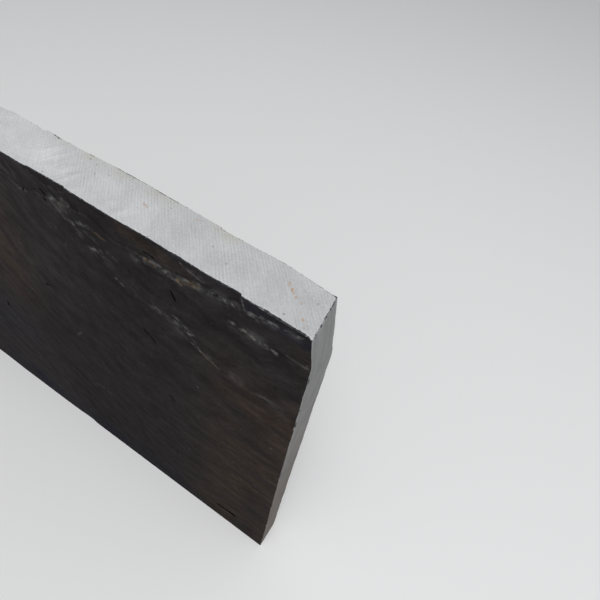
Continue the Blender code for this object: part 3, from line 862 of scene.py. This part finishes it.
class Shading(Nodes):
    """The nodes of one material."""

    def __init__(self, name, specular):
        self.material = bpy.data.materials.new(name)
        self.material.use_nodes = True
        super().__init__(self.material.node_tree)
        self.shader = self.nodes["Principled BSDF"]
        self.shader.inputs["Specular IOR Level"].default_value = specular
        self.place = self.node("TexCoord").outputs["Object"]
        self.x, self.y, self.z = self.node("SeparateXYZ", self.place).outputs

    def vector(self, x, y, z):
        return self.node("CombineXYZ", x, y, z).outputs[0]

    def noise(self, vector, detail=2.0, roughness=0.5):
        """Noise around 0.5, with one lump to a unit of the vector."""
        return self.node("TexNoise", vector, None, 1.0, detail, roughness).outputs["Fac"]

    def turned(self, across, up, angle):
        """Two places, measured along axes turned by the angle."""
        c, s = cos(angle), sin(angle)
        first = self.math("MULTIPLY_ADD", across, c, self.times(up, s))
        return first, self.math("MULTIPLY_ADD", up, c, self.times(across, -s))

    def streaks(self, first, second, long, short, layer, detail=2.0, roughness=0.5):
        """Noise drawn out to a length of its own along each axis."""
        drawn = self.vector(self.math("DIVIDE", first, long), self.math("DIVIDE", second, short), layer)
        return self.noise(drawn, detail, roughness)

    def lumps(self, size, detail=2.0, layer=0.0):
        """Noise in lumps of one size. Each layer is another noise."""
        return self.noise(self.scale(self.vector_math("ADD", self.place, (layer,) * 3), 1 / size), detail)

    def mask(self, name):
        return self.node("Attribute", attribute_name=name).outputs["Fac"]

    def blend(self, amount, start, end):
        node = self.node("Mix", amount, data_type="RGBA")
        for socket, colour in ((node.inputs[6], start), (node.inputs[7], end)):
            self.feed(socket, (*colour, 1.0) if isinstance(colour, tuple) else colour)
        return node.outputs[2]

    def marks(self, across, up, marks):
        """Strength of the strongest of several placed marks."""
        flat = self.vector(across, up, 0.0)
        strengths = []
        for start, end, half_width, strength in marks:
            node = self.nodes.new("ShaderNodeGroup")
            node.node_tree = bpy.data.node_groups["mark"]
            run = Vector((*end, 0.0)) - Vector((*start, 0.0))
            for socket, value in zip(node.inputs, (flat, (*start, 0.0), run, half_width, strength)):
                self.feed(socket, value)
            strengths.append(node.outputs[0])
        return self.most(*strengths)

    def finish(self, colour, roughness, height, relief):
        bump, shader = self.node("Bump"), self.shader
        for node, name, value in (
            (bump, "Strength", 1.0), (bump, "Distance", relief), (bump, "Height", height),
            (shader, "Base Color", colour), (shader, "Roughness", roughness),
            (shader, "Normal", bump.outputs[0]),
        ):
            self.feed(node.inputs[name], value)
        return self.material


def add_mark_group():
    """Shading.marks' node group: full strength on a short line, 0 past the half width."""
    group = bpy.data.node_groups.new("mark", "ShaderNodeTree")
    for kind, names in (("Vector", ("Place", "Start", "Run")), ("Float", ("Half width", "Strength"))):
        for name in names:
            group.interface.new_socket(name, in_out="INPUT", socket_type="NodeSocket" + kind)
    group.interface.new_socket("Mark", in_out="OUTPUT", socket_type="NodeSocketFloat")
    place, start, run, half_width, strength = group.nodes.new("NodeGroupInput").outputs[:5]
    tree = Nodes(group)
    offset = tree.vector_math("SUBTRACT", place, start)
    reached = tree.vector_math("DOT_PRODUCT", offset, run)
    whole = tree.math("MAXIMUM", tree.vector_math("DOT_PRODUCT", run, run), 1e-9)
    nearest = tree.scale(run, tree.math("DIVIDE", reached, whole, clamp=True))
    away = tree.vector_math("LENGTH", tree.vector_math("SUBTRACT", offset, nearest))
    mark = tree.ramp(away, half_width, 0.0, 0.0, strength)
    tree.feed(group.nodes.new("NodeGroupOutput").inputs[0], mark)


RIVEN_SPECULAR, SAWN_SPECULAR = 0.005, 0.15
RIVEN_RELIEF, SAWN_RELIEF, BROKEN_RELIEF = 0.0003, 0.00005, 0.0006  # full height of each bump
GREY_BLACK = (0.0242, 0.0219, 0.0228)
WARM_BLACK = (0.0425, 0.0316, 0.0258)
BLUE_BLACK = (0.0188, 0.0186, 0.0258)
MINERAL = (0.22, 0.22, 0.218)
OCHRE = (0.175, 0.13, 0.078)
PAINTED_SHADE_BLACK = (0.003, 0.003, 0.003)

# Scuffed and crystalline places of the front: from, to (as for the ledges), half width and strength
FRONT_SCUFFS = [
    (139, 29, 121, 23, 3, 0.4), (121, 23, 104, 24, 3, 0.5), (104, 24, 85, 17, 3.6, 0.8),
    (84, 19, 62, 14, 3.2, 0.8), (62, 14, 53, 13, 2.8, 0.7), (52, 2, 50, 11, 1.3, 0.8),
    (49, 13, 38, 9, 3, 0.8), (38, 9, 27, 7, 2.4, 0.7), (27, 8, 9, 4, 1.6, 0.6), (98, 5, 91, 9, 2.4, 0.6),
    (91, 9, 82, 10, 2.6, 0.6), (214, 17, 206, 22, 4, 0.5), (202, 13, 197, 15, 2.6, 0.4),
    (204, 30, 197, 32, 4, 0.5), (191, 27, 181, 25, 4, 0.5), (185, 49, 175, 46, 3.8, 0.6),
    (168, 41, 161, 44, 3, 0.3), (64, 33, 50, 35, 2.6, 0.5), (50, 35, 38, 36, 3.8, 0.9),
    (38, 36, 25, 37, 3.2, 0.7), (17, 32, 1, 33, 2.6, 0.4), (110, 70, 94, 79, 3.4, 0.4),
    (166, 69, 160, 72, 2.8, 0.5), (130, 74, 111, 77, 4, 0.45), (111, 77, 96, 82, 3.8, 0.6),
    (96, 82, 88, 99, 3.2, 0.4), (91, 97, 72, 106, 3.6, 0.4), (277, 369, 267, 370, 3.4, 0.6),
    (96, 164, 95, 165, 2.2, 0.5), (255, 223, 264, 235, 2.6, 0.35), (68, 255, 57, 260, 2.4, 0.3),
    (3, 30, 2, 33, 1.5, 0.6), (173, 549, 168, 557, 2.6, 0.45),
]
FRONT_STAINS = [
    (103, 25, 100, 26, 2.4, 0.8), (130, 23, 121, 24, 2, 0.5), (176, 26, 167, 29, 2.4, 0.35),
    (206, 15, 203, 17, 1.6, 0.45), (98, 23, 86, 18, 2.6, 0.4), (88, 98, 74, 105, 2.6, 0.35),
    (49, 35, 41, 36, 2, 0.3),
]
# Wide hazes of fine scratches, browned places and bluish places, in the same way
FRONT_HAZES = [
    (214, 17, 176, 48, 16, 0.4), (139, 29, 56, 13, 8, 0.5), (60, 34, 15, 34, 8, 0.4),
    (130, 74, 72, 106, 10, 0.35), (99, 5, 80, 11, 6, 0.4), (49, 12, 10, 5, 5, 0.35),
    (260, 20, 330, 40, 16, 0.25), (60, 103, 0, 109, 9, 0.35), (430, 60, 520, 52, 20, 0.3),
    (300, 360, 250, 380, 18, 0.2),
]
FRONT_BROWNS = [
    (20, 140, 75, 560, 115, 1), (330, 40, 350, 200, 75, 0.8), (150, 8, 96, 14, 14, 0.8),
    (0, 200, 0, 600, 50, 1), (560, 280, 660, 430, 150, 0.5), (760, 90, 830, 230, 140, 0.5),
    (3, 25, 3, 60, 20, 0.5),
]
FRONT_BLUES = [
    (165, 590, 500, 570, 80, 1), (47, 6, 0, 7, 7, 1), (660, 560, 860, 480, 120, 0.7),
    (420, 330, 500, 400, 70, 0.5),
]
BACK_HAZES = [
    (590, 60, 420, 60, 16, 0.4), (300, 176, 200, 190, 14, 0.35), (662, 236, 600, 220, 16, 0.4),
    (122, 424, 60, 460, 14, 0.4), (812, 300, 760, 340, 22, 0.3), (420, 470, 394, 520, 16, 0.25),
]
BACK_BROWNS = [(90, 110, 210, 280, 150, 0.6), (540, 400, 680, 520, 140, 0.6), (850, 60, 790, 220, 120, 0.5)]
BACK_BLUES = [(350, 480, 180, 560, 120, 0.7), (440, 190, 600, 130, 110, 0.5)]
BACK_SCUFFS = [
    (352, 36, 300, 22, 2.4, 0.7), (590, 60, 548, 70, 2.4, 0.6), (432, 66, 398, 54, 2.2, 0.8),
    (300, 176, 262, 182, 2.4, 0.6), (662, 236, 616, 220, 2.6, 0.7), (122, 424, 84, 450, 2.4, 0.7),
    (238, 380, 204, 386, 2.2, 0.5), (716, 430, 676, 452, 2.4, 0.6), (60, 41, 30, 36, 2, 0.8),
    (505, 300, 470, 330, 2.4, 0.4), (812, 300, 786, 326, 2.8, 0.5), (420, 470, 394, 500, 2.4, 0.4),
]
BACK_STAINS = [(470, 74, 440, 68, 2.6, 0.6), (236, 190, 214, 194, 2.4, 0.5), (700, 566, 668, 560, 2.6, 0.5)]


def riven_slate(name, seed, scuffs, stains):
    """Split slate: near black, mottled along the grain, scuffed and stained, with painted shade in its slots
    and pits and near its foot.
    """
    s = Shading(name, RIVEN_SPECULAR)
    x = s.plus(s.x, END_LEAN)
    turn = s.times(s.math("SUBTRACT", x, GRAIN_BOW_CREST), GRAIN_BOW_RATE)
    along, straight = s.turned(x, s.z, GRAIN_ANGLE)
    across = s.math("MULTIPLY_ADD", s.math("COSINE", turn), GRAIN_BOW, straight)

    def grain(long, short, layer, detail, roughness=0.5):
        return s.streaks(along, across, long, short, seed + layer, detail, roughness)

    # Base tone: browned and bluish places with broken outlines, then a mottle along the grain, paler towards
    # the upper left and the right end, and darker near the foot as painted shade
    drift = grain(0.06, 0.03, 0, 4, 0.6)
    edge = s.ramp(drift, 0.34, 0.62, 0.25, 1)
    colour = s.blend(s.times(s.mask("brown"), edge), GREY_BLACK, WARM_BLACK)
    colour = s.blend(s.times(s.mask("blue"), edge), colour, BLUE_BLACK)
    mottle = grain(0.0165, 0.0105, 5, 5, 0.62)
    bands = grain(0.034, 0.017, 11, 4, 0.6)
    grit = grain(0.0032, 0.0024, 9, 3, 0.65)
    upper_left = s.times(s.ramp(x, 0.28, 0.19), s.ramp(s.z, 0.35, 0.48))
    paler = s.most(s.math("MULTIPLY_ADD", upper_left, 0.28, 1), s.ramp(x, 0.06, 0.13, 1.26))
    colour = s.scale(
        colour, s.ramp(mottle, 0.28, 0.72, 0.78, 1.26), s.ramp(bands, 0.3, 0.7, 0.84, 1.18), paler,
        # painted shade: darker near the foot
        s.ramp(s.z, 0.14, 0.34, 0.93), s.ramp(grit, 0.25, 0.75, 0.84, 1.18),
    )

    # Light traces, broken up by finer noises: hazes, scuffs at their places, ledge lips, loose flecks
    haze = s.times(s.mask("haze"), s.ramp(mottle, 0.44, 0.66, 0, 0.55))
    crumbs = s.ramp(s.lumps(0.0052, 3, seed + 4), 0.34, 0.68)
    crumbled = s.times(crumbs, s.ramp(grit, 0.34, 0.64, 0.35))
    scuff = s.times(s.marks(x, s.z, placed(scuffs)), crumbled)
    worn = s.times(s.ramp(s.lumps(0.045, 3, seed), 0.48, 0.66), s.ramp(grit, 0.42, 0.6))
    lip = s.times(s.mask("lip"), worn, 0.28)
    flecks = s.times(s.ramp(grain(0.0072, 0.0034, 13, 1), 0.74, 0.82), 0.35)
    colour = s.blend(s.most(scuff, lip, haze, flecks), colour, MINERAL)
    stain = s.times(s.marks(x, s.z, placed(stains)), s.ramp(grit, 0.3, 0.55))
    colour = s.blend(stain, colour, OCHRE)
    # Painted shade: slots and tiny pits darkened to near black
    slot = s.ramp(s.mask("slot"), 0, 0.8)
    pit_shade = s.ramp(grain(0.009, 0.003, 17, 1), 0.25, 0.18)
    colour = s.blend(s.most(slot, pit_shade), colour, PAINTED_SHADE_BLACK)

    # Fine sheets ending in steps a fraction of a millimetre high, bands and grit
    sheets = s.math("FLOOR", s.times(grain(0.04, 0.022, 21, 5, 0.6), 24))
    height = s.times(sheets, 0.22)
    for layer, share in ((bands, 0.4), (mottle, 0.65), (grit, 0.35)):
        height = s.math("MULTIPLY_ADD", layer, share, height)
    return s.finish(colour, s.ramp(mottle, 0.3, 0.7, 0.6, 0.72), height, RIVEN_RELIEF)


SAWN_GREY = (0.452, 0.458, 0.466)
SAWN_END_GREY = (0.262, 0.262, 0.263)
SAWN_END_SHADED = (0.167, 0.147, 0.133)
RUST = (0.37, 0.205, 0.095)
SPECK = (0.14, 0.145, 0.155)
EDGE_TINT = (0.392, 0.388, 0.352)
ARRIS_HIGHLIGHT = (0.56, 0.566, 0.58)
BROKEN_DARK, BROKEN_LIGHT, CRUSHED = (0.016, 0.017, 0.022), (0.045, 0.046, 0.052), (0.26, 0.265, 0.28)
SAW_PITCH = 0.00205
SAW_ANGLE = radians(42.5)  # of the saw lines, from square to the long edges
END_SAW_ANGLE = radians(-4)
STROKE_ANGLE = radians(-22)

# Marks on the top, in millimetres: from (left of the right end, Y), to, half width and strength.
# A speck is as long as it is wide: its place, half width and strength.
TOP_RUST = [
    (36, 7, 35, 6, 1.6, 0.9), (32, 4, 30, 2, 1.9, 0.9), (27, 1, 27, 0, 1.2, 0.8), (23, -1, 22, -2, 1.2, 0.6),
    (16, -11, 15, -11, 1.5, 0.8), (12, -14, 12, -15, 1.4, 0.7), (20, -6, 19, -8, 1.1, 0.5),
    (26, 8, 25, 7, 1, 0.5), (147, 4, 143, 3, 1.2, 0.8), (112, 14, 107, 16, 0.9, 0.5),
    (612, 6, 606, 3, 1.6, 0.5), (731, -9, 728, -11, 1.4, 0.45),
]
TOP_SPECKS = [(x, y, x, y, *rest) for x, y, *rest in (
    (131, 12, 1, 0.65), (89, 2, 1.1, 0.62), (74, -4, 1.3, 0.65), (198, 13, 1.2, 0.65), (183, 10, 0.9, 0.5),
    (14, 4, 1, 0.55), (301, -6, 1.1, 0.58), (388, 9, 1.2, 0.58), (502, -2, 1.2, 0.58), (655, 12, 1.1, 0.58),
    (801, 1, 1.3, 0.58),
)]
TOP_STROKES = [
    (236, 4, 206, -6, 17, 1), (162, -8, 140, -12, 10, 0.7), (352, 6, 330, -4, 16, 0.9),
    (470, -6, 440, -10, 13, 0.8), (586, 4, 560, 0, 16, 0.9), (760, 2, 722, -4, 17, 0.9),
]
TOP_YELLOWS = [(86, 20, 232, 20, 15, 1), (330, 19, 420, 20, 12, 0.6), (640, 18, 720, 20, 13, 0.7)]


def top_point(left, y):
    """Place on the top, from millimetres left of the right end and along Y."""
    return HALF - END_LEAN - left * MM, y * MM


def sawn_slate(name, seed, upright):
    """Sawn slate: pale with stone flour, and ribbed by the saw. The ends are upright, with painted shade
    towards their foot; the top has a painted highlight along its arrises.
    """
    s = Shading(name, SAWN_SPECULAR)
    across, up, angle = (s.y, s.z, END_SAW_ANGLE) if upright else (s.x, s.y, SAW_ANGLE)

    def top_marks(marks, share):
        return s.times(s.marks(s.x, s.y, placed(marks, top_point)), share)

    rib, run = s.turned(across, up, angle)
    drifting = s.math("MULTIPLY_ADD", s.lumps(0.03, 1, seed), 0.0016, rib)
    lines = s.math("SINE", s.times(drifting, 2 * pi / SAW_PITCH))
    shown = s.ramp(s.lumps(0.055, 2, seed + 2), 0.26, 0.5, 0.25)
    if not upright:
        shown = s.times(shown, s.ramp(s.x, 0.22, 0.29, 0.4))
    ribs = s.times(lines, shown)
    hairs = s.streaks(run, rib, 0.018, 0.0007, seed)
    cloud = s.lumps(0.026, 5, seed + 6)
    speckle = s.lumps(0.0012, 2, seed + 8)

    # on the ends, painted shade: darker and warmer towards the foot
    colour = s.blend(s.ramp(s.z, 0.6, 0.2), SAWN_END_GREY, SAWN_END_SHADED) if upright else SAWN_GREY
    line_share = 0.02 if upright else 0.055
    tone = s.plus(
        s.math("MULTIPLY_ADD", ribs, line_share, 1), s.ramp(hairs, 0.25, 0.75, -0.06, 0.06),
        s.ramp(cloud, 0.3, 0.7, -0.07, 0.06), s.ramp(speckle, 0.25, 0.75, -0.08, 0.06),
    )
    flecks = s.times(s.ramp(s.lumps(0.0048, 1, seed + 9), 0.76, 0.81), 0.5)
    if upright:
        drawn = s.streaks(run, rib, 0.045, 0.0075, seed + 3, 4, 0.6)
        worn = s.ramp(cloud, 0.4, 0.75, 0.05, -0.1)
        colour = s.scale(colour, s.plus(tone, s.ramp(drawn, 0.32, 0.68, -0.11, 0.11), worn))
        colour = s.blend(flecks, colour, SPECK)
    else:
        top_only = s.ramp(s.z, HEIGHT / 3, HEIGHT / 2)
        colour = s.scale(colour, s.ramp(s.x, 0.18, 0.46, 1.08, 0.93))
        colour = s.blend(top_marks(TOP_YELLOWS, s.ramp(cloud, 0.36, 0.62)), colour, EDGE_TINT)
        stroke_run, stroke_off = s.turned(s.y, s.x, -STROKE_ANGLE)
        brushed = s.streaks(stroke_run, stroke_off, 0.05, 0.006, seed + 4, 3)
        brushed = top_marks(TOP_STROKES, s.ramp(brushed, 0.42, 0.62, -0.35, 1))
        colour = s.scale(colour, s.math("MULTIPLY_ADD", brushed, 0.13, tone))
        colour = s.blend(flecks, colour, SPECK)
        # Painted highlight along the top's front arris, fainter along the back one, broken up by crumbs
        crumbs = s.ramp(s.lumps(0.0016, 2, seed + 11), 0.5, 0.64)
        rim = s.most(s.ramp(s.y, -0.015, -0.0185), s.ramp(s.y, 0.0165, 0.02, 0, 0.4))
        colour = s.blend(s.times(rim, crumbs, 0.7), colour, ARRIS_HIGHLIGHT)
        grit = s.times(s.ramp(s.lumps(0.0013, 3, seed + 13), 0.38, 0.6), top_only)
        colour = s.blend(top_marks(TOP_RUST, grit), colour, RUST)
        colour = s.blend(top_marks(TOP_SPECKS, top_only), colour, SPECK)

    height = s.math("MULTIPLY_ADD", hairs, 0.9, ribs)
    height = s.math("MULTIPLY_ADD", speckle, 0.9, height)
    return s.finish(colour, s.ramp(cloud, 0.3, 0.7, 0.78, 0.92), height, SAWN_RELIEF)


def broken_slate(name, seed):
    """Freshly broken slate along the arrises: dark, with pale crushed spots."""
    s = Shading(name, SAWN_SPECULAR)
    lumps = s.lumps(0.0035, 4, seed)
    crushed = s.ramp(s.lumps(0.0024, 3, seed + 3), 0.54, 0.68)
    colour = s.blend(s.ramp(lumps, 0.3, 0.7), BROKEN_DARK, BROKEN_LIGHT)
    colour = s.blend(s.times(crushed, 0.6), colour, CRUSHED)
    return s.finish(colour, s.ramp(lumps, 0.3, 0.7, 0.45, 0.7), lumps, BROKEN_RELIEF)


bpy.context.scene.view_settings.view_transform = "Standard"
add_camera()
add_world()
add_key_light()
add_floor()
add_mark_group()
slab = add_stone([
    riven_slate("slate_riven_front", 1.0, FRONT_SCUFFS, FRONT_STAINS),
    riven_slate("slate_riven_back", 40.0, BACK_SCUFFS, BACK_STAINS),
    sawn_slate("slate_sawn_edge", 2.0, upright=False),
    sawn_slate("slate_sawn_end", 5.0, upright=True),
    broken_slate("slate_broken", 8.0),
])
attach(slab, "root")
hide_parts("slab")
